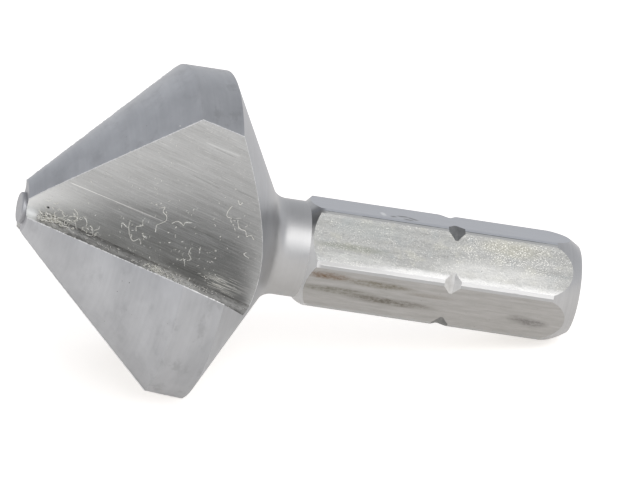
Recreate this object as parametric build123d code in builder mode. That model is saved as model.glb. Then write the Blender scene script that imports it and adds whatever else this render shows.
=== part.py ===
from build123d import *
import math
import os

# ---------------------------------------------------------------------------
# Countersink bit: one piece of tool steel, turned, with three ground flutes
# and a hexagon drive shank.  The bit is made upright, with its axis on +Z and
# its nose face at z = 0, and is then laid on the table as it comes to rest.
# ---------------------------------------------------------------------------

# Head
head_diameter = 20.5        # over the straight land
point_angle = 89.0          # between the cutting edges: 90 degrees, less its tolerance
nose_diameter = 3.5         # nose face, measured at the cutting edges
land_length = 2.72          # straight land, from the front rim to the back rim
back_angle = 120.0          # included angle of the cone behind the head

# Stub left at the centre of the nose face
stub_diameter = 1.95
stub_height = 0.28
stub_bevel = 0.07

# Flutes, ground as straight V grooves
flute_count = 3
flute_angle = 61.8          # between the rake face and the flute floor
flute_tilt = 19.2           # between the groove and the axis of the bit
flute_lean = 37.9           # how far behind the cutting edge the groove leans
flute_root_offset = 0.83    # from the axis to the groove's sharp root, at the nose face
flute_root_radius = 0.5

# Relief behind each cutting edge: the cone is ground about an offset line, so
# that it falls away from the edge towards the heel of the land
relief_at_nose = 0.30       # offset of that line at the nose face
relief_at_back = 0.07       # offset of that line at the back rim
relief_lead = 60.0          # direction of the offset, ahead of the cutting edge

# Neck
neck_diameter = 6.0
neck_length = 2.03          # from the point where the back cone would meet it
neck_fillet = 1.2

# Hexagon shank
hex_across_flats = 6.25     # quarter-inch hexagon, at the low end of its tolerance
hex_corner_diameter = 6.98  # the hexagon's corners are turned down to this
hex_lead = 6.2              # a corner stands this far ahead of each cutting edge
hex_length = 16.87          # from the full hexagon's first corner to the end face
hex_front_bevel_angle = 45.0
end_face_diameter = 5.5
end_bevel_length = 1.75
end_bevel_crown = 0.1       # the end bevel bulges this much

# Catch notches across the hexagon's corners
notch_from_end = 8.19       # end face to the middle of the notch
notch_bottom_diameter = 6.58
notch_bottom_width = 0.18
notch_width = 1.05          # over the turned corners

# ---------------------------------------------------------------------------
# Sizes that follow from those above
# ---------------------------------------------------------------------------
head_radius = head_diameter / 2
nose_radius = nose_diameter / 2
stub_radius = stub_diameter / 2
neck_radius = neck_diameter / 2
corner_radius = hex_corner_diameter / 2
end_radius = end_face_diameter / 2
notch_bottom_radius = notch_bottom_diameter / 2
point_slope = math.tan(math.radians(point_angle / 2))
back_slope = math.tan(math.radians(back_angle / 2))
front_bevel_slope = math.tan(math.radians(hex_front_bevel_angle))
land_sector = 360 / flute_count

front_rim_z = (head_radius - nose_radius) / point_slope
back_rim_z = front_rim_z + land_length
neck_start_z = back_rim_z + (head_radius - neck_radius) / back_slope
neck_end_z = neck_start_z + neck_length
hex_start_z = neck_end_z + (corner_radius - neck_radius) / front_bevel_slope
end_z = hex_start_z + hex_length
end_bevel_z = end_z - end_bevel_length
notch_z = end_z - notch_from_end

# ---------------------------------------------------------------------------
# One sector of the head, behind the cutting edge in the XZ plane.  Its cone
# runs between two circles off the axis, each through the cutting edge; the
# sector's outer arc then cuts the cone off as the straight land.
# ---------------------------------------------------------------------------
relief_direction = Vector(1, 0, 0).rotate(Axis.Z, -relief_lead)
nose_center = relief_direction * relief_at_nose
back_center = relief_direction * relief_at_back
edge_at_nose = Vector(nose_radius, 0, 0)
edge_at_back = Vector(nose_radius + back_rim_z * point_slope, 0, 0)

with BuildPart() as head_sector:
    with BuildSketch(Plane(nose_center)):
        Circle((edge_at_nose - nose_center).length)
    with BuildSketch(Plane(back_center).offset(back_rim_z)):
        Circle((edge_at_back - back_center).length)
    loft(ruled=True)
    with BuildSketch():
        with BuildLine():
            Line((0, 0), (head_radius, 0))
            CenterArc((0, 0), head_radius, 0, land_sector)
            PolarLine((0, 0), head_radius, land_sector)
        make_face()
    extrude(amount=back_rim_z, mode=Mode.INTERSECT)

# ---------------------------------------------------------------------------
# One flute: the path of a V-shaped grinding wheel.  The rake face holds the
# cutting edge and the wheel's direction; the floor rises to the heel of the
# land in front of it.
# ---------------------------------------------------------------------------
cutting_edge = Vector(0, 0, 1).rotate(Axis.Y, point_angle / 2)
wheel_direction = Vector(0, 0, 1).rotate(Axis.Y, flute_tilt).rotate(Axis.Z, flute_lean)
rake_normal = cutting_edge.cross(wheel_direction).normalized()
root_side = (nose_radius - flute_root_offset) * rake_normal.X / rake_normal.Y
wheel_section = Plane(
    origin=(flute_root_offset, root_side, 0),
    x_dir=wheel_direction.cross(rake_normal),
    z_dir=wheel_direction,
)
wheel_reach = head_diameter

with BuildPart() as flute:
    with BuildSketch(wheel_section):
        with BuildLine():
            rake_wall = Line((0, 0), (wheel_reach, 0))
            floor_wall = PolarLine((0, 0), wheel_reach, -flute_angle)
            Line(rake_wall @ 1, floor_wall @ 1)
        groove = make_face()
        fillet(groove.vertices().sort_by_distance((0, 0))[0], flute_root_radius)
    extrude(amount=neck_end_z, both=True)

# ---------------------------------------------------------------------------
# Shank: a hexagon bar with its corners turned, bevelled at both ends, and
# notched across the corners for the ball of a quick-change holder.
# ---------------------------------------------------------------------------
with BuildPart() as shank:
    with BuildSketch(Plane.XY.offset(neck_end_z)):
        RegularPolygon(hex_across_flats / 2, 6, major_radius=False, rotation=-hex_lead)
    extrude(amount=end_z - neck_end_z)
    with BuildSketch(Plane.XZ):
        with BuildLine():
            Polyline(
                (0, end_z),
                (0, neck_end_z),
                (neck_radius, neck_end_z),
                (corner_radius, hex_start_z),
                (corner_radius, notch_z - notch_width / 2),
                (notch_bottom_radius, notch_z - notch_bottom_width / 2),
                (notch_bottom_radius, notch_z + notch_bottom_width / 2),
                (corner_radius, notch_z + notch_width / 2),
                (corner_radius, end_bevel_z),
            )
            SagittaArc((corner_radius, end_bevel_z), (end_radius, end_z), -end_bevel_crown)
            Line((end_radius, end_z), (0, end_z))
        make_face()
    revolve(axis=Axis.Z, mode=Mode.INTERSECT)

# ---------------------------------------------------------------------------
# The whole bit, upright
# ---------------------------------------------------------------------------
with BuildPart() as upright_bit:
    with PolarLocations(0, flute_count):
        add(head_sector.part)
    with BuildSketch(Plane.XZ):
        with BuildLine():
            Polyline(
                (0, back_rim_z),
                (head_radius, back_rim_z),
                (neck_radius, neck_start_z),
                (neck_radius, neck_end_z),
                (0, neck_end_z),
                close=True,
            )
        back_profile = make_face()
        fillet(back_profile.vertices().sort_by_distance((neck_radius, neck_start_z))[0], neck_fillet)
    revolve(axis=Axis.Z)
    with BuildSketch(Plane.XZ):
        with BuildLine():
            Polyline(
                (0, 0),
                (0, -stub_height),
                (stub_radius - stub_bevel, -stub_height),
                (stub_radius, stub_bevel - stub_height),
                (stub_radius, 0),
                close=True,
            )
        make_face()
    revolve(axis=Axis.Z)
    with PolarLocations(0, flute_count):
        add(flute.part, mode=Mode.SUBTRACT)
    add(shank.part)

# ---------------------------------------------------------------------------
# How it rests: on the two corners where one flute breaks the back rim, and on
# the curved border of the shank's end bevel, at the point along it that meets
# the table first.
# ---------------------------------------------------------------------------
land_rims = (
    upright_bit.edges()
    .filter_by(GeomType.CIRCLE)
    .filter_by_position(Axis.Z, back_rim_z - 0.01, back_rim_z + 0.01)
    .sort_by(lambda rim: math.atan2(rim.center().Y, rim.center().X))
)
heel = Vector(land_rims[0].vertices().sort_by_distance(land_rims[1].center())[0])
edge = Vector(land_rims[1].vertices().sort_by_distance(land_rims[0].center())[0])
rim_chord = edge - heel
downward = rim_chord.cross(Vector(0, 0, 1)).normalized()
bevel_points = [
    border @ (step / 50)
    for border in shank.edges().filter_by_position(Axis.Z, end_bevel_z - 0.01, end_z)
    for step in range(51)
]
shank_contact = min(bevel_points, key=lambda point: (heel - point).dot(downward) / (point.Z - back_rim_z))
table = Plane(origin=heel, x_dir=(0, 0, 1), z_dir=(shank_contact - heel).cross(rim_chord))
lying_box = table.to_local_coords(upright_bit.part).bounding_box()
box_bottom = Vector(lying_box.center().X, lying_box.center().Y, lying_box.min.Z)

with BuildPart() as countersink_bit:
    with Locations(Location(-box_bottom) * table.location.inverse()):
        add(upright_bit.part)

os.makedirs("parts", exist_ok=True)
countersink_bit.part.label = "countersink_bit"
export_step(countersink_bit.part, "parts/countersink_bit.step")
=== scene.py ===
import math
import random

import bpy
from mathutils import Matrix, Quaternion, Vector


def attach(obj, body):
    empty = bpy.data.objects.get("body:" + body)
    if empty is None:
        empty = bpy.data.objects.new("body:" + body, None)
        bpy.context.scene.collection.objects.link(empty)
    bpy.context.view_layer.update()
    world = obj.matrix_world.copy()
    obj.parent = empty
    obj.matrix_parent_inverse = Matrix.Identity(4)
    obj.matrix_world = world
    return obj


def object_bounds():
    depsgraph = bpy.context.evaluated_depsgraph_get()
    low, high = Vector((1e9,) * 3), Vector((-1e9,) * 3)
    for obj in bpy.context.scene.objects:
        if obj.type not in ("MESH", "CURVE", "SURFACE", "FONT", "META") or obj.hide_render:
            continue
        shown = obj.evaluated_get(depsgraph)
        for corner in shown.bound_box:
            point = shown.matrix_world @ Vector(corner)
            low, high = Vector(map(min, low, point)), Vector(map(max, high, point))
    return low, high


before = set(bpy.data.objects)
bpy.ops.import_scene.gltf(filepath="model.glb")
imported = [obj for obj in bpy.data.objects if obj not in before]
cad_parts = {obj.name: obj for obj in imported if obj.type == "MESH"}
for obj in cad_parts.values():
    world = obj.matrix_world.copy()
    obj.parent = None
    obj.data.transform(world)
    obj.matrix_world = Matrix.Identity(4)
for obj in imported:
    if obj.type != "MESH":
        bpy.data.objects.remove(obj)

cad_low, cad_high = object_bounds()
MM = 0.001

# ---------------------------------------------------------------------------
# Countersink bit: where it lies
# One piece of tool steel, turned from bar, hardened and ground.  It lies on two
# corners of its back rim and on the end of its shank.  Every finish is set out
# from its own axis: x through the first cutting edge, z from nose to shank.
# ---------------------------------------------------------------------------
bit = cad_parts["countersink_bit"]

# the two ends of its axis, and how far it has rolled about it
nose_centre = Vector((-17.049, 0.0, 11.288)) * MM
shank_end_centre = Vector((16.879, 0.0, 2.917)) * MM
edge_roll = math.radians(-63.96)

bit_axis = (shank_end_centre - nose_centre).normalized()
edge_side = Quaternion(bit_axis, edge_roll) @ Vector((0, 1, 0))
bit_to_world = Matrix((edge_side, bit_axis.cross(edge_side), bit_axis)).transposed().to_4x4()
bit_to_world = Matrix.Translation(nose_centre) @ bit_to_world @ Matrix.Scale(MM, 4)
world_to_bit = bit_to_world.inverted()

# ---------------------------------------------------------------------------
# Countersink bit: its ground and turned surfaces
# The faces are sorted by the tool that made them.  Each corner of a face also
# carries its place along and across that tool's marks, in millimetres, so that
# the marks run the way the wheel or the lathe left them.
# ---------------------------------------------------------------------------
nose_radius = 1.75
point_half_angle = math.radians(44.5)
flute_count = 3
flute_tilt = math.radians(19.2)
flute_lean = math.radians(37.9)
flute_angle = math.radians(61.8)
flute_root_offset = 0.83
flute_root_radius = 0.5
front_rim_z = 8.65
back_rim_z = 11.370
neck_start_z = 15.556
neck_end_z = 17.586
end_bevel_z = 33.196
notch_z = 26.756
notch_width = 1.10              # with a little to spare
flat_count = 6
hex_lead = math.radians(6.2)

# how well a face has to agree with a flat, a flute's wall or its rounded root
flat_agreement = 0.9995
wall_agreement = 0.999
root_band = 0.90
root_squareness = 0.02
nose_facing = -0.95
nose_depth = 0.01

# flats of the hexagon that came off the mill smooth or grainy; the others are stained
smooth_flats = (0, 2)
grainy_flats = (3, 5)

# millimetres that keep the marks of one flute or flat from repeating on the next
marks_apart = 7.0

axis_z = Vector((0, 0, 1))
cutting_edge = Quaternion((0, 1, 0), point_half_angle) @ axis_z
wheel_way = Quaternion(axis_z, flute_lean) @ Quaternion((0, 1, 0), flute_tilt) @ axis_z
rake_normal = cutting_edge.cross(wheel_way).normalized()
floor_normal = Quaternion(wheel_way, math.pi - flute_angle) @ rake_normal
flute_root = Vector((flute_root_offset,
                     (nose_radius - flute_root_offset) * rake_normal.x / rake_normal.y, 0))


def turn_to_flute(number):
    """The turn about the bit's axis from its first flute to another."""
    return Quaternion(axis_z, number * math.tau / flute_count)


def turn_to_flat(number):
    """The turn about the bit's axis that brings x to the middle of a flat."""
    return Quaternion(axis_z, (number + 0.5) * math.tau / flat_count - hex_lead)


def surface_of(place, normal):
    """Names the surface a face of the bit belongs to, and which flute or flat it is on."""
    if place.z > neck_end_z:
        flat = math.atan2(place.y, place.x) + hex_lead
        flat = round(flat / (math.tau / flat_count) - 0.5) % flat_count
        if (turn_to_flat(flat) @ Vector((1, 0, 0))).dot(normal) < flat_agreement:
            if abs(place.z - notch_z) < notch_width / 2:
                return "notch", flat
            return ("turned_end" if place.z > end_bevel_z else "hex_corner"), flat
        if flat in smooth_flats:
            return "smooth_flat", flat
        return ("grainy_flat" if flat in grainy_flats else "stained_flat"), flat
    if place.z > neck_start_z:
        return "turned_back", 0
    for flute in range(flute_count):
        turn = turn_to_flute(flute)
        if (turn @ rake_normal).dot(normal) > wall_agreement:
            return "rake_face", flute
        if (turn @ floor_normal).dot(normal) > wall_agreement:
            return "flute_floor", flute
        from_root = place - turn @ flute_root
        off_root = from_root - from_root.project(turn @ wheel_way)
        if off_root.length < root_band and abs((turn @ wheel_way).dot(normal)) < root_squareness:
            return "flute_root", flute
    if place.z > back_rim_z:
        return "turned_back", 0
    if normal.z < nose_facing or place.z < nose_depth:
        return "nose_face", 0
    return "ground_land", 0


def marks_at(place, surface, number):
    """Where a point lies along and across the marks of its surface."""
    if surface in ("flute_floor", "flute_root", "rake_face"):
        turn = turn_to_flute(number)
        from_root = place - turn @ flute_root
        across_way = (turn @ floor_normal).cross(turn @ wheel_way)
        if surface == "rake_face":
            across_way = (turn @ wheel_way).cross(turn @ rake_normal)
        return Vector((from_root.dot(turn @ wheel_way), abs(from_root.dot(across_way)),
                       number * marks_apart))
    flat_way = turn_to_flat(number) @ Vector((0, 1, 0))
    return Vector((place.z, place.dot(flat_way), number * marks_apart))


surfaces = ["ground_land", "flute_floor", "flute_root", "rake_face", "nose_face", "turned_back",
            "hex_corner", "notch", "smooth_flat", "grainy_flat", "stained_flat", "turned_end"]
bit.data.materials.clear()
for surface in surfaces:
    bit.data.materials.append(bpy.data.materials.new(surface))
    bit.data.materials[surface].use_nodes = True

marks = bit.data.attributes.new("marks", "FLOAT_VECTOR", "CORNER")
face_surface = {}
for face in bit.data.polygons:
    place = world_to_bit @ face.center
    normal = (world_to_bit.to_3x3() @ face.normal).normalized()
    surface, number = surface_of(place, normal)
    face.material_index = surfaces.index(surface)
    face_surface[face.index] = (surface, number)
    for corner in face.loop_indices:
        point = world_to_bit @ bit.data.vertices[bit.data.loops[corner].vertex_index].co
        marks.data[corner].vector = marks_at(point, surface, number)


class Finish:
    """The shader of one surface, with the few texture tools that its marks need."""

    def __init__(self, material, colour, roughness, metallic=1.0):
        self.tree = material.node_tree
        self.shader = self.tree.nodes["Principled BSDF"]
        self.shader.inputs["Metallic"].default_value = metallic
        self.shader.inputs["Base Color"].default_value = (*colour, 1)
        self.shader.inputs["Roughness"].default_value = roughness

    def add(self, kind, sockets=(), **settings):
        """One node, with its input sockets linked or set."""
        node = self.tree.nodes.new("ShaderNode" + kind)
        for name, value in settings.items():
            setattr(node, name, value)
        for name, value in dict(sockets).items():
            if isinstance(value, bpy.types.NodeSocket):
                self.tree.links.new(value, node.inputs[name])
            else:
                node.inputs[name].default_value = value
        return node

    def marks(self):
        """Millimetres along and across the tool's marks."""
        return self.add("Attribute", attribute_name="marks").outputs["Vector"]

    def bit_place(self):
        """Millimetres in the bit's own frame."""
        turn = world_to_bit.to_3x3().normalized().to_euler()
        return self.add("Mapping", {
            "Vector": self.add("TexCoord").outputs["Object"],
            "Location": world_to_bit.translation,
            "Rotation": turn,
            "Scale": (1 / MM, 1 / MM, 1 / MM)}).outputs[0]

    def noise(self, place, scale, detail=3.0, roughness=0.55, shift=(0, 0, 0)):
        """Noise stretched by the scale, in waves per millimetre each way."""
        spread = self.add("Mapping", {"Vector": place, "Scale": scale, "Location": shift})
        return self.add("TexNoise", {"Vector": spread.outputs[0], "Scale": 1.0, "Detail": detail,
                                     "Roughness": roughness}).outputs[0]

    def part(self, place, letter):
        """One of the three numbers of a place."""
        return self.add("SeparateXYZ", {"Vector": place}).outputs[letter]

    def span(self, value, low, high, at_low=0.0, at_high=1.0):
        """A smooth step from one value to another."""
        return self.add("MapRange", {"Value": value, "From Min": low, "From Max": high,
                                     "To Min": at_low, "To Max": at_high},
                        interpolation_type="SMOOTHSTEP").outputs[0]

    def math(self, operation, first, second=0.0):
        """One sum, product or the like of two values."""
        return self.add("Math", {0: first, 1: second}, operation=operation).outputs[0]

    def mix(self, factor, first, second):
        """One colour turning into another."""
        node = self.add("Mix", {"Factor": factor}, data_type="RGBA")
        for name, value in (("A", first), ("B", second)):
            socket = [s for s in node.inputs if s.name == name and s.type == "RGBA"][0]
            if isinstance(value, bpy.types.NodeSocket):
                self.tree.links.new(value, socket)
            else:
                socket.default_value = (*value, 1)
        return [s for s in node.outputs if s.type == "RGBA"][0]

    def cover(self, colour, amount, shade, strength):
        """A colour with some of a shade laid over it, as far as the amount says."""
        return self.mix(self.math("MULTIPLY", amount, strength), colour, shade)

    def stroke(self, place, start, end, width, fade=0.3):
        """A thin mark between two points, given along and across the tool's marks."""
        way = Vector(end) - Vector(start)
        on_line = self.add("Mapping", {"Vector": place, "Location": (*start, 0), "Scale": (1, 1, 0),
                                       "Rotation": (0, 0, math.atan2(way.y, way.x))},
                           vector_type="TEXTURE")
        along = self.part(on_line.outputs[0], "X")
        off = self.math("ABSOLUTE", self.part(on_line.outputs[0], "Y"))
        ends = self.math("MULTIPLY", self.span(along, 0.0, fade),
                         self.span(along, way.length - fade, way.length, 1.0, 0.0))
        return self.math("MULTIPLY", ends, self.span(off, width / 2, width, 1.0, 0.0))

    def patch(self, place, centre, size, core=0.3):
        """A soft oval patch, whole inside its core."""
        endless = 1e6
        spot = self.add("Mapping", {"Vector": place, "Location": (*centre, 0),
                                    "Scale": (*size, endless)}, vector_type="TEXTURE")
        reach = self.add("VectorMath", {0: spot.outputs[0]}, operation="LENGTH").outputs["Value"]
        return self.span(reach, core, 1.0, 1.0, 0.0)

    def paint(self, colour=None, roughness=None, height=None, depth=0.01):
        """Links what was made to the shader; the depth of the marks is in millimetres."""
        if colour:
            self.tree.links.new(colour, self.shader.inputs["Base Color"])
        if roughness:
            self.tree.links.new(roughness, self.shader.inputs["Roughness"])
        if height:
            bump = self.add("Bump", {"Height": height, "Strength": 1.0, "Distance": depth * MM})
            self.tree.links.new(bump.outputs[0], self.shader.inputs["Normal"])


# The cone and the straight land, ground smooth on a cylindrical grinder: faint
# rings, soft grey smears and a few pits, and the straight land darker.
land_dull = (0.445, 0.449, 0.461)
land_bright = (0.575, 0.579, 0.590)
land_grime = (0.30, 0.30, 0.31)
land_pits = (0.10, 0.10, 0.10)
straight_land_tone = (0.34, 0.34, 0.34)
rim_softness = 0.15

land = Finish(bit.data.materials["ground_land"], (0.50, 0.50, 0.51), 0.40)
place = land.bit_place()
smear = land.noise(place, (0.22, 0.22, 0.45), 4.0, 0.6)
rings = land.noise(place, (0.15, 0.15, 5.0), 3.0, 0.6)
grime = land.span(land.noise(place, (0.5, 0.5, 0.9), 5.0, 0.65, shift=(4, 1, 7)), 0.50, 0.75)
speckle = land.span(land.noise(place, (3.2, 3.2, 3.2), 2.0, 0.5, shift=(9, 3, 5)), 0.76, 0.80)
tone = land.math("ADD", land.span(smear, 0.3, 0.7, 0.0, 0.8), land.span(rings, 0.3, 0.7, 0.0, 0.2))
colour = land.mix(tone, land_dull, land_bright)
colour = land.cover(colour, grime, land_grime, 0.34)
colour = land.mix(speckle, colour, land_pits)
straight = land.span(land.part(place, "Z"), front_rim_z - rim_softness, front_rim_z + rim_softness)
straight_land_darkening = land.math("MULTIPLY", straight, land.span(grime, 0.0, 0.6, 0.18, 0.42))
colour = land.mix(straight_land_darkening, colour, straight_land_tone)
land.paint(colour, land.span(smear, 0.3, 0.7, 0.38, 0.46), rings, 0.0012)

# The flute floors, ground straight through by a V wheel: long parallel marks, brighter at the nose
# and worn at the back, with oil, a rubbed patch, scratches and painted shade beside the root.
# Places are along and across the flute, from the sharp line of its root.
floor_dull = (0.40, 0.40, 0.39)
floor_bright = (0.72, 0.72, 0.71)
floor_root_shade = (0.15, 0.145, 0.14)
floor_fresh = (0.88, 0.88, 0.86)
floor_worn = (0.30, 0.30, 0.295)
floor_streaks = (0.82, 0.81, 0.79)
pale_specks = (0.92, 0.91, 0.86)
dark_specks = (0.16, 0.16, 0.15)
floor_oil = (0.13, 0.125, 0.12)
rubbed_steel = (0.92, 0.91, 0.88)
scratched_steel = (0.98, 0.97, 0.94)
pit_black = (0.05, 0.05, 0.05)

# centre, size and strength
oily_patches = (((13.6, 1.5), (1.3, 1.6), 0.16), ((10.4, 1.2), (2.2, 0.6), 0.22))
rubbed_centre = (12.8, 1.5)
rubbed_size = (1.9, 0.9)
pit_centre = (1.09, 1.26)
pit_size = (0.13, 0.10)
# start, end and width
long_scratch = ((1.6, 3.45), (7.97, 3.67), 0.035)
wide_scratch = ((4.6, 3.55), (7.3, 3.65), 0.055)
# start, end, width and colour
scores = (((8.1, 9.8), (10.6, 9.9), 0.07, (0.97, 0.97, 0.95)),
          ((8.7, 9.7), (10.3, 9.7), 0.06, (0.22, 0.22, 0.21)),
          ((11.1, 7.7), (12.6, 7.7), 0.07, (0.20, 0.20, 0.19)),
          ((8.2, 7.4), (10.3, 7.3), 0.06, (0.24, 0.24, 0.23)),
          ((7.0, 7.7), (8.7, 7.7), 0.05, (0.92, 0.92, 0.90)))

flute = Finish(bit.data.materials["flute_floor"], (0.50, 0.50, 0.50), 0.42)
place = flute.marks()
along = flute.part(place, "X")
across = flute.part(place, "Y")
up_the_floor = flute.math("DIVIDE", across, flute.math("ADD", along, 1.0))
fine = flute.noise(place, (0.50, 9.5, 1.0), 6.0, 0.70)
broad = flute.noise(place, (0.22, 1.6, 1.0), 4.0, 0.55, shift=(3, 8, 2))
ragged = flute.noise(place, (0.35, 0.9, 1.0), 5.0, 0.65, shift=(2, 2, 2))
bright = flute.span(flute.noise(place, (0.9, 11.0, 1.0), 2.0, 0.5, shift=(6, 2, 9)), 0.63, 0.72)
streaks = flute.math("ADD", flute.span(fine, 0.32, 0.68, -0.5, 0.5),
                     flute.span(broad, 0.3, 0.7, -0.35, 0.35))
contrast = flute.span(up_the_floor, 0.25, 0.65, 0.62, 0.34)
tone = flute.math("ADD", 0.5, flute.math("MULTIPLY", streaks, contrast))
colour = flute.mix(tone, floor_dull, floor_bright)
height = flute.math("ADD", up_the_floor, flute.span(ragged, 0.3, 0.7, -0.09, 0.09))
# painted shade: the floor darkened low down beside the root, from 2 mm along
low = flute.math("MULTIPLY", flute.span(height, 0.02, 0.40, 0.04, 0.0), flute.span(along, 2.0, 6.0))
colour = flute.mix(low, colour, floor_root_shade)
fresh = flute.math("MULTIPLY", flute.span(along, 2.0, 9.5, 0.68, 0.07),
                   flute.span(flute.math("ADD", across, ragged), 2.0, 4.5, 1.0, 0.0))
colour = flute.mix(fresh, colour, floor_fresh)
worn = flute.span(along, 9.0, 14.0, 0.0, 0.34)
colour = flute.mix(worn, colour, floor_worn)
colour = flute.cover(colour, bright, floor_streaks, 0.4)
speck = flute.noise(place, (7.0, 8.0, 1.0), 3.0, 0.6, shift=(1, 4, 4))
colour = flute.mix(flute.span(speck, 0.60, 0.70, 0.0, 0.35), colour, pale_specks)
colour = flute.mix(flute.span(speck, 0.28, 0.38, 0.30, 0.0), colour, dark_specks)
for centre, size, strength in oily_patches:
    colour = flute.cover(colour, flute.patch(place, centre, size), floor_oil, strength)
rubbing = flute.noise(place, (0.5, 8.0, 1.0), 1.0, 0.5, shift=(5, 1, 3))
rubbed = flute.math("MULTIPLY", flute.patch(place, rubbed_centre, rubbed_size),
                    flute.span(rubbing, 0.43, 0.56))
colour = flute.cover(colour, rubbed, rubbed_steel, 0.85)
scratch = flute.math("MAXIMUM", flute.stroke(place, *long_scratch),
                     flute.stroke(place, *wide_scratch))
colour = flute.cover(colour, scratch, scratched_steel, 0.8)
for start, end, width, shade in scores:
    colour = flute.cover(colour, flute.stroke(place, start, end, width), shade, 0.28)
colour = flute.mix(flute.patch(place, pit_centre, pit_size), colour, pit_black)
flute.paint(colour, flute.span(fine, 0.3, 0.7, 0.36, 0.48), fine, 0.016)

# The rounded roots and the rake faces, under caked grinding dust and darkened as painted
# shade: pale at the nose, black with oil and painted shade in two stretches further back.
caked_dust_and_shade = (0.22, 0.215, 0.205)
caked_oil_and_shade = (0.11, 0.108, 0.104)
caked_at_nose = (0.76, 0.76, 0.74)
# surface, colour of the dust and strength of the oil and painted shade
caked_surfaces = (("flute_root", (0.60, 0.59, 0.56), 0.52), ("rake_face", (0.50, 0.49, 0.47), 0.08))

for surface, dust_colour, oil_and_shade in caked_surfaces:
    caked = Finish(bit.data.materials[surface], (0.4, 0.4, 0.4), 0.55, metallic=0.6)
    place = caked.marks()
    along = caked.part(place, "X")
    ground = caked.noise(place, (0.45, 8.0, 1.0), 5.0, 0.65)
    dust = caked.noise(place, (3.0, 7.0, 1.0), 4.0, 0.7, shift=(3, 3, 3))
    tone = caked.math("ADD", caked.span(ground, 0.35, 0.65, 0.0, 0.5),
                      caked.span(dust, 0.38, 0.64, 0.0, 0.5))
    colour = caked.mix(tone, caked_dust_and_shade, dust_colour)
    # painted shade with oil: two dark stretches along the root
    front_oil_and_shade = caked.math("MULTIPLY", caked.span(along, 2.3, 3.6),
                           caked.span(along, 7.6, 8.8, oil_and_shade, 0.0))
    back_oil_and_shade = caked.span(along, 10.2, 11.8, 0.0, oil_and_shade * 0.7)
    colour = caked.mix(caked.math("MAXIMUM", front_oil_and_shade, back_oil_and_shade), colour, caked_oil_and_shade)
    colour = caked.mix(caked.span(along, 0.3, 1.1, 1.0, 0.0), colour, caked_at_nose)
    caked.paint(colour, None, dust, 0.02)

# The nose, left dull by the parting tool.
nose_dull = (0.42, 0.42, 0.43)
nose_bright = (0.55, 0.55, 0.56)

nose = Finish(bit.data.materials["nose_face"], (0.45, 0.45, 0.46), 0.5)
place = nose.bit_place()
parted = nose.noise(place, (2.5, 2.5, 2.5), 4.0, 0.6)
nose.paint(nose.mix(parted, nose_dull, nose_bright), None, parted, 0.01)

# The back of the head and the neck, as turned: fine rings round the axis, and
# the neck a little brighter and warmer.
back_dull = (0.400, 0.404, 0.416)
back_bright = (0.500, 0.504, 0.516)
neck_steel = (0.58, 0.565, 0.54)
neck_tone_from = neck_start_z - 1.8
neck_tone_to = neck_start_z + 0.4

back = Finish(bit.data.materials["turned_back"], (0.50, 0.50, 0.50), 0.40)
place = back.bit_place()
rings = back.noise(place, (0.05, 0.05, 7.0), 3.0, 0.6)
smear = back.noise(place, (0.6, 0.6, 0.6), 4.0, 0.6, shift=(2, 5, 1))
tone = back.math("ADD", back.span(rings, 0.3, 0.7, 0.0, 0.25), back.span(smear, 0.3, 0.7, 0.0, 0.75))
colour = back.mix(tone, back_dull, back_bright)
on_neck = back.span(back.part(place, "Z"), neck_tone_from, neck_tone_to)
colour = back.cover(colour, on_neck, neck_steel, 0.52)
dullness = back.math("SUBTRACT", back.span(smear, 0.3, 0.7, 0.37, 0.46),
                     back.math("MULTIPLY", on_neck, 0.02))
back.paint(colour, dullness, rings, 0.0012)

# The hexagon's corners, turned.  Each half of a corner has the tone of the flat beside it,
# as a painted reflection, with a dark line above the grainy flat, a painted highlight line
# and band below it, and a painted highlight and a painted shade stretch on the bevel in front.
upper_corner = math.degrees(3 * math.tau / flat_count - hex_lead)
lower_corner = math.degrees(4 * math.tau / flat_count - hex_lead)
grainy_middle = (upper_corner + lower_corner) / 2
half_softness = 0.3
corner_dull = (0.44, 0.44, 0.435)
corner_bright = (0.56, 0.555, 0.545)
# painted highlight band on the lower half of the lower corner
corner_highlight = (0.92, 0.91, 0.89)
bevel_highlight_colour = (0.86, 0.85, 0.83)
shaded_bevel = (0.16, 0.16, 0.165)
# from and to, in degrees round the axis, and colour
# painted reflection: each half as bright as the flat beside it looks
corner_half_reflections = ((170.0, upper_corner, (0.68, 0.69, 0.71)),
                 (upper_corner, grainy_middle, (0.74, 0.73, 0.70)),
                 (grainy_middle, lower_corner, (0.78, 0.77, 0.75)))
# the line at the lower corner is a painted highlight
corner_dark_and_highlight_lines = ((upper_corner, (0.22, 0.22, 0.22)), (lower_corner, (0.94, 0.935, 0.92)))


def angle_about_axis(finish, place):
    """Degrees round the bit's axis, from the first cutting edge."""
    turn = finish.math("ARCTAN2", finish.part(place, "Y"), finish.part(place, "X"))
    return finish.math("FLOORED_MODULO", finish.math("MULTIPLY", turn, math.degrees(1)), 360.0)


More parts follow.
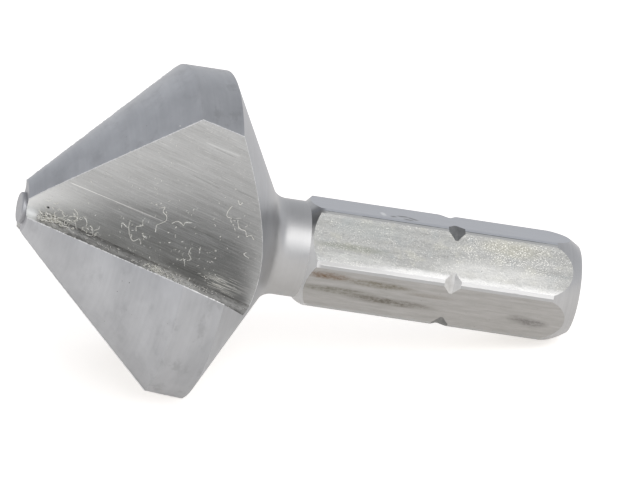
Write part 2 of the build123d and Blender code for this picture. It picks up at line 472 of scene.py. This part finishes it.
corner = Finish(bit.data.materials["hex_corner"], (0.55, 0.55, 0.55), 0.34)
angle = angle_about_axis(corner, corner.bit_place())
place = corner.marks()
along = corner.part(place, "X")
worn = corner.noise(place, (0.8, 3.0, 1.0), 4.0, 0.6)
grain = corner.noise(place, (3.5, 7.0, 1.0), 4.0, 0.7, shift=(3, 1, 0))
colour = corner.mix(worn, corner_dull, corner_bright)
for start, stop, shade in corner_half_reflections:
    inside = corner.math("MULTIPLY",
                         corner.span(angle, start - half_softness, start + half_softness),
                         corner.span(angle, stop - half_softness, stop + half_softness, 1.0, 0.0))
    speckled = corner.mix(grain, tuple(value * 0.84 for value in shade), shade)
    if stop == lower_corner:
        speckled = corner.mix(corner.span(along, 18.5, 25.0), speckled, corner_highlight)
    colour = corner.mix(inside, colour, speckled)
for edge, shade in corner_dark_and_highlight_lines:
    off = corner.math("ABSOLUTE", corner.math("SUBTRACT", angle, edge))
    line = corner.math("MULTIPLY", corner.span(off, 0.30, 0.65, 0.9, 0.0),
                       corner.span(worn, 0.40, 0.52, 0.35, 1.0))
    line = corner.math("MULTIPLY", line, corner.span(along, 18.2, 18.6))
    colour = corner.mix(line, colour, shade)
# painted highlight on the bevel, where the neck's highlight runs on
bevel_highlight_mask = corner.math("MULTIPLY", corner.span(along, 18.1, 18.4, 1.0, 0.0),
                    corner.span(angle, 195.0, 215.0))
colour = corner.mix(bevel_highlight_mask, colour, bevel_highlight_colour)
corner.tree.links.new(corner.span(bevel_highlight_mask, 0.0, 1.0, 1.0, 0.35), corner.shader.inputs["Metallic"])
shaded = corner.math("MULTIPLY", corner.span(along, 18.1, 18.5, 0.75, 0.0),
                     corner.math("MULTIPLY", corner.span(angle, 160.0, 172.0),
                                 corner.span(angle, 186.0, 196.0, 1.0, 0.0)))
colour = corner.mix(shaded, colour, shaded_bevel)
corner.paint(colour, None, worn, 0.004)

# The catch notches, turned into the corners: dark with oil and painted shade, but for
# the one on the lower corner, which carries a painted highlight.
notch_oil_and_shade_dark = (0.16, 0.16, 0.16)
notch_oil_and_shade_light = (0.34, 0.34, 0.33)
notch_highlight_dark = (0.52, 0.51, 0.49)
notch_highlight_bright = (0.84, 0.83, 0.81)

notch = Finish(bit.data.materials["notch"], (0.32, 0.32, 0.32), 0.5)
place = notch.bit_place()
off = notch.math("ABSOLUTE", notch.math("SUBTRACT", angle_about_axis(notch, place), lower_corner))
oil_and_shade = notch.noise(place, (3.0, 3.0, 3.0), 4.0, 0.6)
# painted highlight on the notch at the lower corner; painted shade with oil in the others
colour = notch.mix(notch.span(off, 18.0, 22.0, 1.0, 0.0), notch.mix(oil_and_shade, notch_oil_and_shade_dark, notch_oil_and_shade_light),
                   notch.mix(oil_and_shade, notch_highlight_dark, notch_highlight_bright))
notch.paint(colour, None, oil_and_shade, 0.006)

# The smooth flats, as drawn: faint marks along the bar, and a few dark nicks
# beside a burnished spot.  Places are along the bit and across the flat.
smooth_dull = (0.455, 0.462, 0.48)
smooth_bright = (0.545, 0.555, 0.575)
nick_dark = (0.14, 0.14, 0.14)
burnished_steel = (0.90, 0.90, 0.88)
nick_width = 0.20
# start and end
nicks = (((22.5, 1.15), (23.1, 0.85)), ((23.0, 0.75), (23.9, 0.55)),
         ((23.7, 0.60), (24.4, 1.25)), ((23.3, 1.20), (24.1, 1.45)))
burnish_centre = (22.2, 0.70)
burnish_size = (0.25, 0.60)

smooth = Finish(bit.data.materials["smooth_flat"], (0.50, 0.51, 0.53), 0.38)
place = smooth.marks()
drawn = smooth.noise(place, (0.25, 3.0, 1.0), 4.0, 0.6)
colour = smooth.mix(drawn, smooth_dull, smooth_bright)
for start, end in nicks:
    colour = smooth.cover(colour, smooth.stroke(place, start, end, nick_width), nick_dark, 0.8)
burnish = smooth.patch(place, burnish_centre, burnish_size)
colour = smooth.cover(colour, burnish, burnished_steel, 0.6)
smooth.paint(colour, None, drawn, 0.003)

# The grainy flats: a coarse, blotchy grain with a yellowish cast, pits, fine
# painted glints in clusters, and a painted highlight along the edge beside the lower corner.
grainy_dull = (0.230, 0.229, 0.220)
grainy_bright = (0.445, 0.441, 0.422)
yellow_cast = (0.43, 0.42, 0.36)
grey_cast = (0.30, 0.315, 0.315)
grainy_highlight_steel = (0.70, 0.69, 0.67)
glint_steel = (0.95, 0.93, 0.86)
grainy_pits = (0.16, 0.15, 0.13)
# the three pale areas along the lower edge are a painted highlight, widening to the right
# centre, size, colour and strength
grainy_areas_and_highlights = (((20.2, 0.42), (3.2, 0.34), (0.24, 0.245, 0.21), 0.75),
                ((21.0, -0.9), (3.4, 0.9), (0.33, 0.345, 0.335), 0.45),
                ((30.3, -1.0), (2.8, 0.8), (0.42, 0.40, 0.31), 0.45),
                ((29.5, 0.9), (5.5, 1.2), (0.66, 0.65, 0.62), 0.62),
                ((20.5, 1.05), (3.0, 0.36), (0.50, 0.50, 0.475), 0.6),
                ((25.0, 1.45), (3.4, 0.42), (0.68, 0.67, 0.65), 0.75))
glints_centre = (30.3, -0.7)
glints_size = (4.5, 1.4)

grainy = Finish(bit.data.materials["grainy_flat"], (0.54, 0.53, 0.51), 0.36)
place = grainy.marks()
along = grainy.part(place, "X")
across = grainy.part(place, "Y")
grain = grainy.noise(place, (4.0, 6.5, 1.0), 5.0, 0.75)
coarse = grainy.noise(place, (0.75, 1.5, 1.0), 5.0, 0.68, shift=(5, 5, 0))
bands = grainy.noise(place, (0.14, 2.4, 1.0), 4.0, 0.6, shift=(1, 7, 0))
tone = grainy.math("ADD", grainy.span(grain, 0.36, 0.64, 0.0, 0.30),
                   grainy.span(coarse, 0.34, 0.66, 0.0, 0.42))
tone = grainy.math("ADD", tone, grainy.span(bands, 0.32, 0.68, 0.0, 0.28))
colour = grainy.mix(tone, grainy_dull, grainy_bright)
cast = grainy.noise(place, (0.9, 1.2, 1.0), 4.0, 0.6, shift=(3, 8, 0))
colour = grainy.mix(grainy.span(cast, 0.50, 0.66, 0.0, 0.38), colour, yellow_cast)
colour = grainy.mix(grainy.span(cast, 0.34, 0.46, 0.38, 0.0), colour, grey_cast)
for centre, size, shade, strength in grainy_areas_and_highlights:
    uneven = grainy.math("MULTIPLY", grainy.patch(place, centre, size),
                         grainy.span(coarse, 0.35, 0.62, 0.5, 1.0))
    colour = grainy.cover(colour, uneven, shade, strength)
# painted highlight along the lower edge beside the lower corner, stronger towards the end
ragged_across = grainy.math("ADD", across, grainy.span(coarse, 0.3, 0.7, -0.12, 0.12))
grainy_edge_highlight = grainy.math("MULTIPLY", grainy.span(ragged_across, 1.1, 1.5),
                    grainy.span(along, 18.0, 26.0, 0.30, 0.85))
colour = grainy.mix(grainy_edge_highlight, colour, grainy_highlight_steel)
glints = grainy.noise(place, (10.0, 12.5, 1.0), 3.0, 0.7, shift=(2, 9, 0))
where = grainy.math("ADD", grainy.patch(place, glints_centre, glints_size), 0.30)
clusters = grainy.noise(place, (1.1, 1.7, 1.0), 3.0, 0.6, shift=(8, 2, 0))
where = grainy.math("MULTIPLY", where, grainy.span(clusters, 0.40, 0.60, 0.25, 1.35))
sparkle = grainy.math("MULTIPLY", grainy.span(glints, 0.53, 0.64), where)
colour = grainy.mix(grainy.math("MINIMUM", sparkle, 0.54), colour, glint_steel)
pits = grainy.span(grainy.noise(place, (5.0, 5.0, 1.0), 3.0, 0.6, shift=(7, 3, 0)), 0.66, 0.72)
colour = grainy.cover(colour, pits, grainy_pits, 0.6)
grainy.paint(colour, grainy.span(coarse, 0.3, 0.7, 0.32, 0.46), grain, 0.02)

# The stained flats, as drawn: marks and brown stains along the bar, and a smudge
# near the end.
stained_dull = (0.40, 0.39, 0.37)
stained_bright = (0.53, 0.515, 0.50)
stained_specks = (0.15, 0.13, 0.10)
# centre, size, colour and strength
stains = (((19.0, -1.00), (1.9, 0.42), (0.22, 0.155, 0.105), 0.9),
          ((22.2, -0.85), (3.0, 0.40), (0.215, 0.195, 0.145), 0.8),
          ((19.8, 0.10), (3.4, 0.40), (0.20, 0.19, 0.15), 0.75),
          ((23.2, 0.42), (3.8, 0.42), (0.17, 0.155, 0.125), 0.8),
          ((25.5, -0.55), (2.0, 0.25), (0.30, 0.27, 0.23), 0.5),
          ((31.4, 0.22), (1.0, 0.42), (0.22, 0.21, 0.195), 0.62),
          ((32.4, 0.42), (1.3, 0.45), (0.20, 0.19, 0.18), 0.70))

stained = Finish(bit.data.materials["stained_flat"], (0.47, 0.46, 0.45), 0.40)
place = stained.marks()
drawn = stained.noise(place, (0.3, 4.0, 1.0), 4.0, 0.6)
mottle = stained.noise(place, (0.9, 4.0, 1.0), 5.0, 0.7, shift=(4, 4, 0))
specks = stained.noise(place, (4.5, 6.5, 1.0), 3.0, 0.65, shift=(6, 2, 0))
tone = stained.math("ADD", stained.span(drawn, 0.3, 0.7, 0.0, 0.5),
                    stained.span(mottle, 0.3, 0.7, 0.0, 0.5))
colour = stained.mix(tone, stained_dull, stained_bright)
for centre, size, shade, strength in stains:
    broken = stained.math("MULTIPLY", stained.patch(place, centre, size),
                          stained.span(mottle, 0.36, 0.60, 0.45, 1.0))
    broken = stained.math("MULTIPLY", broken, stained.span(specks, 0.35, 0.60, 0.70, 1.15))
    colour = stained.cover(colour, broken, shade, strength)
colour = stained.mix(stained.span(specks, 0.66, 0.72, 0.0, 0.5), colour, stained_specks)
stained.paint(colour, stained.span(mottle, 0.3, 0.7, 0.36, 0.48), mottle, 0.012)

# The bevel and face at the end of the shank, turned.
end_dull = (0.44, 0.436, 0.432)
end_bright = (0.60, 0.594, 0.588)

end = Finish(bit.data.materials["turned_end"], (0.48, 0.48, 0.49), 0.36)
rings = end.noise(end.bit_place(), (0.2, 0.2, 6.0), 3.0, 0.6)
end.paint(end.mix(rings, end_dull, end_bright), None, rings, 0.006)

# ---------------------------------------------------------------------------
# Grinding burrs and painted edge highlights
# A wire edge of steel that the wheel turns over along the borders of each
# flute: fine where the flute runs out at the back, thicker along the heel and
# torn along the cutting edge, near white so that it is also a painted edge highlight.
# ---------------------------------------------------------------------------
burr_step = 0.10
burr_dull = (0.72, 0.71, 0.70)
# near white: the burr's colour is also a painted edge highlight
burr_and_edge_highlight = (0.99, 0.985, 0.97)
# name, the two surfaces it stands between, thinnest and thickest radius, random seed
burr_and_highlight_lines = (("heel_burrs_and_highlight", "flute_floor", "ground_land", 0.022, 0.046, 11),
              ("flute_back_burrs_and_highlight", "flute_floor", "turned_back", 0.006, 0.020, 12),
              ("cutting_edge_burrs_and_highlight", "rake_face", "ground_land", 0.008, 0.052, 13))


def border(first, second, number):
    """The points where two surfaces meet beside one flute, in order from one end."""
    places = []
    for wanted in (first, second):
        found = {}
        for face in bit.data.polygons:
            surface, of_flute = face_surface[face.index]
            round_the_bit = surface in ("ground_land", "turned_back")
            if surface == wanted and (round_the_bit or of_flute == number):
                for vertex in face.vertices:
                    point = world_to_bit @ bit.data.vertices[vertex].co
                    found[tuple(round(x, 3) for x in point)] = point
        places.append(found)
    left = [places[0][key] for key in places[0] if key in places[1]]
    middle = sum(left, Vector()) / len(left)
    line = [max(left, key=lambda point: (point - middle).length)]
    left.remove(line[0])
    while left:
        line.append(min(left, key=lambda point: (point - line[-1]).length))
        left.remove(line[-1])
    return line


def even_steps(points, step):
    """The same line, with a point at every step."""
    line = [points[0]]
    for start, end in zip(points, points[1:]):
        pieces = max(1, round((end - start).length / step))
        line += [start.lerp(end, piece / pieces) for piece in range(1, pieces + 1)]
    return line


def add_thread(corners, faces, line, radii, sides=4):
    """A closed thread of steel along a line, of a different thickness at each point."""
    first = len(corners)
    for index, point in enumerate(line):
        way = (line[min(index + 1, len(line) - 1)] - line[max(index - 1, 0)]).normalized()
        side = way.orthogonal().normalized()
        for turn in range(sides):
            corners.append(point + radii[index] * (Quaternion(way, turn * math.tau / sides) @ side))
    for index in range(len(line) - 1):
        ring = first + index * sides
        for turn in range(sides):
            after = (turn + 1) % sides
            faces.append((ring + turn, ring + after, ring + sides + after, ring + sides + turn))
    faces.append(tuple(range(first, first + sides))[::-1])
    faces.append(tuple(range(len(corners) - sides, len(corners))))


def inside_the_box(point):
    """The same point, held inside the bit's own box."""
    return Vector(min(max(value, low), high) for value, low, high in zip(point, cad_low, cad_high))


def steel_piece(name, corners, faces, material):
    """A loose or torn bit of steel that rides with the tool and stays inside its box."""
    mesh = bpy.data.meshes.new(name)
    mesh.from_pydata([inside_the_box(bit_to_world @ corner) for corner in corners], [], faces)
    mesh.materials.append(material)
    piece = bpy.data.objects.new(name, mesh)
    bpy.context.scene.collection.objects.link(piece)
    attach(piece, "root")


burr_and_highlight_steel = bpy.data.materials.new("burr_and_highlight_steel")
burr_and_highlight_steel.use_nodes = True
burr_and_highlight = Finish(burr_and_highlight_steel, (0.9, 0.9, 0.88), 0.38, metallic=0.3)
torn = burr_and_highlight.noise(burr_and_highlight.bit_place(), (6.0, 6.0, 6.0), 3.0, 0.6)
burr_and_highlight.paint(burr_and_highlight.mix(torn, burr_dull, burr_and_edge_highlight), None, torn, 0.01)

for name, first, second, thinnest, thickest, seed in burr_and_highlight_lines:
    chance = random.Random(seed)
    corners = []
    faces = []
    for number in range(flute_count):
        line = even_steps(border(first, second, number), burr_step)
        radii = [chance.uniform(thinnest, thickest) for point in line]
        add_thread(corners, faces, line, radii)
    steel_piece(name, corners, faces, burr_and_highlight_steel)

# ---------------------------------------------------------------------------
# Swarf
# Hair-fine curls and crumbs of steel left by the wheel, held in the flutes by
# oil: heaped at the nose and along the cutting edge, scattered further up.
# ---------------------------------------------------------------------------
swarf_dull = (0.80, 0.78, 0.70)
swarf_bright = (1.0, 0.985, 0.945)

# flute, share of the swarf it holds and random seed
swarf_in_flutes = ((2, 1.0, 21), (0, 0.45, 22), (1, 0.45, 23))

# centre along and across the flute, how far it spreads, how many curls, their
# length and their thickness; every thickness is a radius
swarf_patches = (
    ((1.6, 0.4), (0.7, 0.3), 44, 0.80, 0.034),
    ((1.9, 1.3), (0.8, 0.4), 8, 0.50, 0.022),
    ((2.8, 1.1), (0.5, 0.4), 14, 0.70, 0.028),
    ((3.9, 1.0), (0.5, 0.4), 9, 0.45, 0.026),
    ((5.0, 0.3), (2.2, 0.3), 18, 0.20, 0.020),
    ((8.9, 0.2), (0.9, 0.3), 80, 0.32, 0.020),
    ((11.3, 0.4), (1.4, 0.4), 40, 0.15, 0.020),
    ((10.2, 2.6), (1.0, 0.9), 12, 0.25, 0.020),
    ((12.0, 5.8), (0.9, 1.2), 8, 0.25, 0.020),
    ((6.2, 2.3), (0.9, 0.6), 8, 0.30, 0.022),
    ((7.5, 5.0), (4.0, 2.6), 50, 0.13, 0.020),
    ((9.0, 1.5), (4.0, 1.2), 60, 0.09, 0.020),
    ((5.0, -2.2), (3.5, 1.0), 24, 0.25, 0.020),
    ((10.5, -5.5), (2.0, 1.6), 30, 0.25, 0.020),
)
# how those numbers vary from curl to curl
spread_deviations = 1.6
length_factors = (0.4, 1.4)
thickness_factors = (0.65, 1.3)
tightest_bend = 6
# how a curl wanders over the flute, in radians, and lifts off it, in millimetres
curl_step = 0.05
fewest_steps = 4
wander = 0.28
kink = 1.3
kink_chance = 0.10
lift_changes = (-0.035, 0.045)
nearest_the_nose = 0.35
below_the_edge = 0.04

# the courses of the longest curls, as places along and across the flute
long_curls = (
    ((7.3, 4.4), (7.6, 4.6), (7.6, 4.3), (7.9, 4.1), (8.0, 3.8), (7.7, 3.4), (7.6, 3.2), (7.7, 2.8)),
    ((6.0, 2.8), (6.1, 2.3), (6.4, 1.8), (6.7, 1.6), (7.0, 1.9), (7.2, 1.6)),
    ((11.3, 6.6), (11.2, 6.1), (11.3, 5.8), (11.6, 5.8)),
    ((10.1, 2.8), (10.1, 2.4), (10.4, 2.1), (10.2, 1.9)),
    ((8.4, 3.8), (8.7, 4.1), (9.1, 4.0), (9.1, 4.2), (9.5, 4.4)),
    ((12.0, 5.8), (12.3, 5.4), (12.7, 5.4), (12.9, 5.1), (13.1, 5.3), (13.4, 5.1)),
    ((5.7, 2.1), (5.6, 2.4), (5.9, 2.3), (6.1, 2.3)),
    ((6.7, 3.2), (6.8, 2.8), (6.5, 2.6), (6.6, 2.3)),
    ((9.8, 1.7), (10.0, 1.9), (10.2, 1.5)),
    ((13.3, 4.1), (13.2, 3.9), (13.6, 3.8)),
    ((3.3, 1.7), (3.6, 1.5), (3.7, 1.1)),
    ((2.6, 1.9), (2.9, 1.7), (3.0, 1.3), (2.8, 1.0)),
    ((3.9, 1.3), (4.1, 1.2), (4.3, 0.8)),
    ((10.6, 3.1), (10.7, 2.7)),
    ((11.5, 7.1), (11.7, 6.9), (11.8, 7.1)),
)
long_curl_thicknesses = (0.016, 0.036)
long_curl_lift = 0.02
long_curl_extra_lifts = (0, 0.05)
steps_between_places = 4

# straight hairs of steel in the rubbed patch
hair_count = 20
hair_centre = (12.1, 1.4)
hair_spread = (0.6, 0.25)
hair_lengths = (0.5, 1.3)
hair_slopes = (-0.06, 0.10)
hair_steps = 8
hair_lift = 0.015
hair_thickness = 0.008

# lone crumbs, along and across the flute
crumbs = ((7.0, 2.3), (8.7, 2.5), (8.7, 3.6), (11.4, 4.3), (11.5, 3.3), (11.7, 2.8),
          (12.4, 4.8), (7.0, 4.5), (9.4, 2.9), (9.5, 2.2))
crumb_length = 0.16
crumb_bend = 5
crumb_heading = 0.3
crumb_thickness = 0.040

swarf_steel = bpy.data.materials.new("swarf_steel")
swarf_steel.use_nodes = True
swarf = Finish(swarf_steel, (0.88, 0.86, 0.80), 0.5, metallic=0.2)
dusty = swarf.noise(swarf.bit_place(), (4.0, 4.0, 4.0), 3.0, 0.6)
swarf.paint(swarf.mix(dusty, swarf_dull, swarf_bright), None, dusty, 0.01)

up_floor = floor_normal.cross(wheel_way)
up_floor *= math.copysign(1, up_floor.dot(rake_normal))
up_rake = rake_normal.cross(wheel_way)
up_rake *= math.copysign(1, up_rake.dot(floor_normal))
root_reach = flute_root_radius / math.tan(flute_angle / 2)
root_centre = (up_floor + up_rake).normalized() * flute_root_radius / math.sin(flute_angle / 2)


def rake_height(along):
    """How far the rake face reaches from the root to the cutting edge."""
    edge = Vector((nose_radius, 0, 0)) - flute_root
    further = (along - edge.dot(wheel_way)) / cutting_edge.dot(wheel_way)
    return (edge + further * cutting_edge).dot(up_rake)


def in_flute(along, across, lift, number):
    """A place over a flute's floor, or over its rake face where across is below zero."""
    if abs(across) < root_reach:
        normal = floor_normal.slerp(rake_normal, 0.5 - across / (2 * root_reach))
        place = root_centre - flute_root_radius * normal
    elif across > 0:
        normal = floor_normal
        place = across * up_floor
    else:
        normal = rake_normal
        place = -across * up_rake
    return turn_to_flute(number) @ (flute_root + along * wheel_way + place + lift * normal)


def add_curl(corners, faces, start, length, bend, heading, number, chance, thickness):
    """One curl that lies in the flute, kinks now and then and lifts off here and there."""
    along, across = start
    steps = max(fewest_steps, round(length / curl_step))
    line = []
    lowest = thickness * 0.7
    lift = lowest
    for step in range(steps):
        across = max(across, below_the_edge - rake_height(along))
        line.append(in_flute(along, across, lift, number))
        heading += bend * length / steps + chance.gauss(0, wander)
        if chance.random() < kink_chance:
            heading += chance.choice((-kink, kink))
        along = max(along + math.cos(heading) * length / steps, nearest_the_nose)
        across += math.sin(heading) * length / steps
        lift = max(lowest, lift + chance.uniform(*lift_changes))
    # thickest in the middle
    radii = [thickness * (0.45 + 0.55 * math.sin(math.pi * (step + 0.7) / (steps + 0.4)))
             * chance.uniform(0.7, 1.15) for step in range(steps)]
    add_thread(corners, faces, line, radii)


def bent_line(points, steps):
    """A smooth line through a few points."""
    line = []
    rounded = [2 * points[0] - points[1], *points, 2 * points[-1] - points[-2]]
    for before, start, end, after in zip(rounded, rounded[1:], rounded[2:], rounded[3:]):
        for step in range(steps):
            part = step / steps
            line.append(start + part / 2 * ((end - before)
                                            + part * (2 * before - 5 * start + 4 * end - after)
                                            + part ** 2 * (3 * start - before - 3 * end + after)))
    return [*line, points[-1]]


def add_long_curl(corners, faces, course, number, chance):
    """One long curl, on its own course over the floor."""
    line = []
    for place in bent_line([Vector(place) for place in course], steps_between_places):
        lift = long_curl_lift + chance.uniform(*long_curl_extra_lifts)
        line.append(in_flute(place.x, place.y, lift, number))
    add_thread(corners, faces, line, [chance.uniform(*long_curl_thicknesses) for place in line])


def add_hair(corners, faces, number, chance):
    """One straight hair in the rubbed patch."""
    along = chance.gauss(hair_centre[0], hair_spread[0])
    across = chance.gauss(hair_centre[1], hair_spread[1])
    length = chance.uniform(*hair_lengths)
    slope = chance.uniform(*hair_slopes)
    line = []
    for step in range(hair_steps + 1):
        further = length * step / hair_steps
        line.append(in_flute(along + further, across + slope * further, hair_lift, number))
    add_thread(corners, faces, line, [hair_thickness] * len(line))


for number, share, seed in swarf_in_flutes:
    chance = random.Random(seed)
    corners = []
    faces = []
    for centre, spread, count, length, thickness in swarf_patches:
        for curl in range(round(count * share)):
            along = chance.gauss(centre[0], spread[0] / spread_deviations)
            across = chance.gauss(centre[1], spread[1] / spread_deviations)
            add_curl(corners, faces, (max(along, nearest_the_nose), across),
                     length * chance.uniform(*length_factors),
                     chance.uniform(-tightest_bend, tightest_bend), chance.uniform(0, math.tau),
                     number, chance, thickness * chance.uniform(*thickness_factors))
    for course in long_curls[:round(len(long_curls) * share)]:
        add_long_curl(corners, faces, course, number, chance)
    for hair in range(round(hair_count * share)):
        add_hair(corners, faces, number, chance)
    for crumb in crumbs[:round(len(crumbs) * share)]:
        add_curl(corners, faces, crumb, crumb_length, crumb_bend, crumb_heading,
                 number, chance, crumb_thickness)
    steel_piece(f"swarf_in_flute_{number + 1}", corners, faces, swarf_steel)

# ---------------------------------------------------------------------------
# Table
# A plain white table top that reaches far behind the bit; it is the background
# as well, and the steel shows it.
# ---------------------------------------------------------------------------
table_half = 2.0
table_white = (0.80, 0.785, 0.765)
glow_colour = (1.0, 0.97, 0.94, 1)
camera_glow = 0.64
steel_glow = 0.34

table_mesh = bpy.data.meshes.new("table")
table_mesh.from_pydata([(-table_half, -table_half, 0), (table_half, -table_half, 0),
                        (table_half, table_half, 0), (-table_half, table_half, 0)],
                       [], [(0, 1, 2, 3)])
table = bpy.data.objects.new("table", table_mesh)
bpy.context.scene.collection.objects.link(table)
table_mesh.materials.append(bpy.data.materials.new("white_table"))
table_mesh.materials[0].use_nodes = True
paint = Finish(table_mesh.materials[0], table_white, 0.9, metallic=0.0)
rays = paint.add("LightPath")
seen = paint.math("MULTIPLY", rays.outputs["Is Camera Ray"], camera_glow)
shown = paint.math("MULTIPLY", rays.outputs["Is Glossy Ray"], steel_glow)
glow = paint.add("Emission", {"Color": glow_colour, "Strength": paint.math("ADD", seen, shown)})
both = paint.add("AddShader", {0: paint.shader.outputs[0], 1: glow.outputs[0]})
paint.tree.links.new(both.outputs[0], paint.tree.nodes["Material Output"].inputs["Surface"])

# ---------------------------------------------------------------------------
# Light
# A pale room, darker overhead, with one large soft lamp in front and above, as
# for a small tool laid out on a white table.
# ---------------------------------------------------------------------------
room_colour = (0.95, 0.975, 1.03, 1)
room_at_table = 0.80
room_overhead = 0.56
overhead_height = 0.9
lamp_place = Vector((0.20, -0.34, 0.36))
lamp_size = 0.42
lamp_power = 0.85
lamp_aim = Vector((0, 0, 0.008))

room = bpy.data.worlds.new("room")
bpy.context.scene.world = room
room.use_nodes = True
room_nodes = room.node_tree.nodes
room_links = room.node_tree.links
room_place = room_nodes.new("ShaderNodeTexCoord")
room_height = room_nodes.new("ShaderNodeSeparateXYZ")
room_shade = room_nodes.new("ShaderNodeMapRange")
room_shade.inputs["From Min"].default_value = 0.0
room_shade.inputs["From Max"].default_value = overhead_height
room_shade.inputs["To Min"].default_value = room_at_table
room_shade.inputs["To Max"].default_value = room_overhead
room_links.new(room_place.outputs["Generated"], room_height.inputs[0])
room_links.new(room_height.outputs["Z"], room_shade.inputs["Value"])
room_links.new(room_shade.outputs[0], room_nodes["Background"].inputs["Strength"])
room_nodes["Background"].inputs["Color"].default_value = room_colour

lamp = bpy.data.lights.new("front_lamp", "AREA")
lamp.shape = "SQUARE"
lamp.size = lamp_size
lamp.energy = lamp_power
lamp_holder = bpy.data.objects.new("front_lamp", lamp)
lamp_holder.location = lamp_place
lamp_holder.rotation_euler = (lamp_aim - lamp_place).to_track_quat("-Z", "Y").to_euler()
bpy.context.scene.collection.objects.link(lamp_holder)

# ---------------------------------------------------------------------------
# Camera
# A long lens from the front, a little above the table, so that the bit's nose
# points left and its shank runs back to the right.
# ---------------------------------------------------------------------------
camera_right = Vector((0.9901, -0.1394, -0.0198))
camera_back = Vector((-0.1186, -0.9013, 0.4169)).normalized()
camera_aim = Vector((1.32, 0.08, 7.54)) * MM
camera_distance = 1.1
frame_half_width = 0.01976
sensor_width = 36.0

camera_up = camera_back.cross(camera_right).normalized()
camera_right = camera_up.cross(camera_back)
lens = bpy.data.cameras.new("camera")
lens.sensor_width = sensor_width
lens.lens = sensor_width / 2 * camera_distance / frame_half_width
camera = bpy.data.objects.new("camera", lens)
turned = Matrix((camera_right, camera_up, camera_back)).transposed().to_4x4()
camera.matrix_world = Matrix.Translation(camera_aim + camera_distance * camera_back) @ turned
bpy.context.scene.collection.objects.link(camera)
bpy.context.scene.camera = camera
bpy.context.scene.view_settings.view_transform = "Standard"
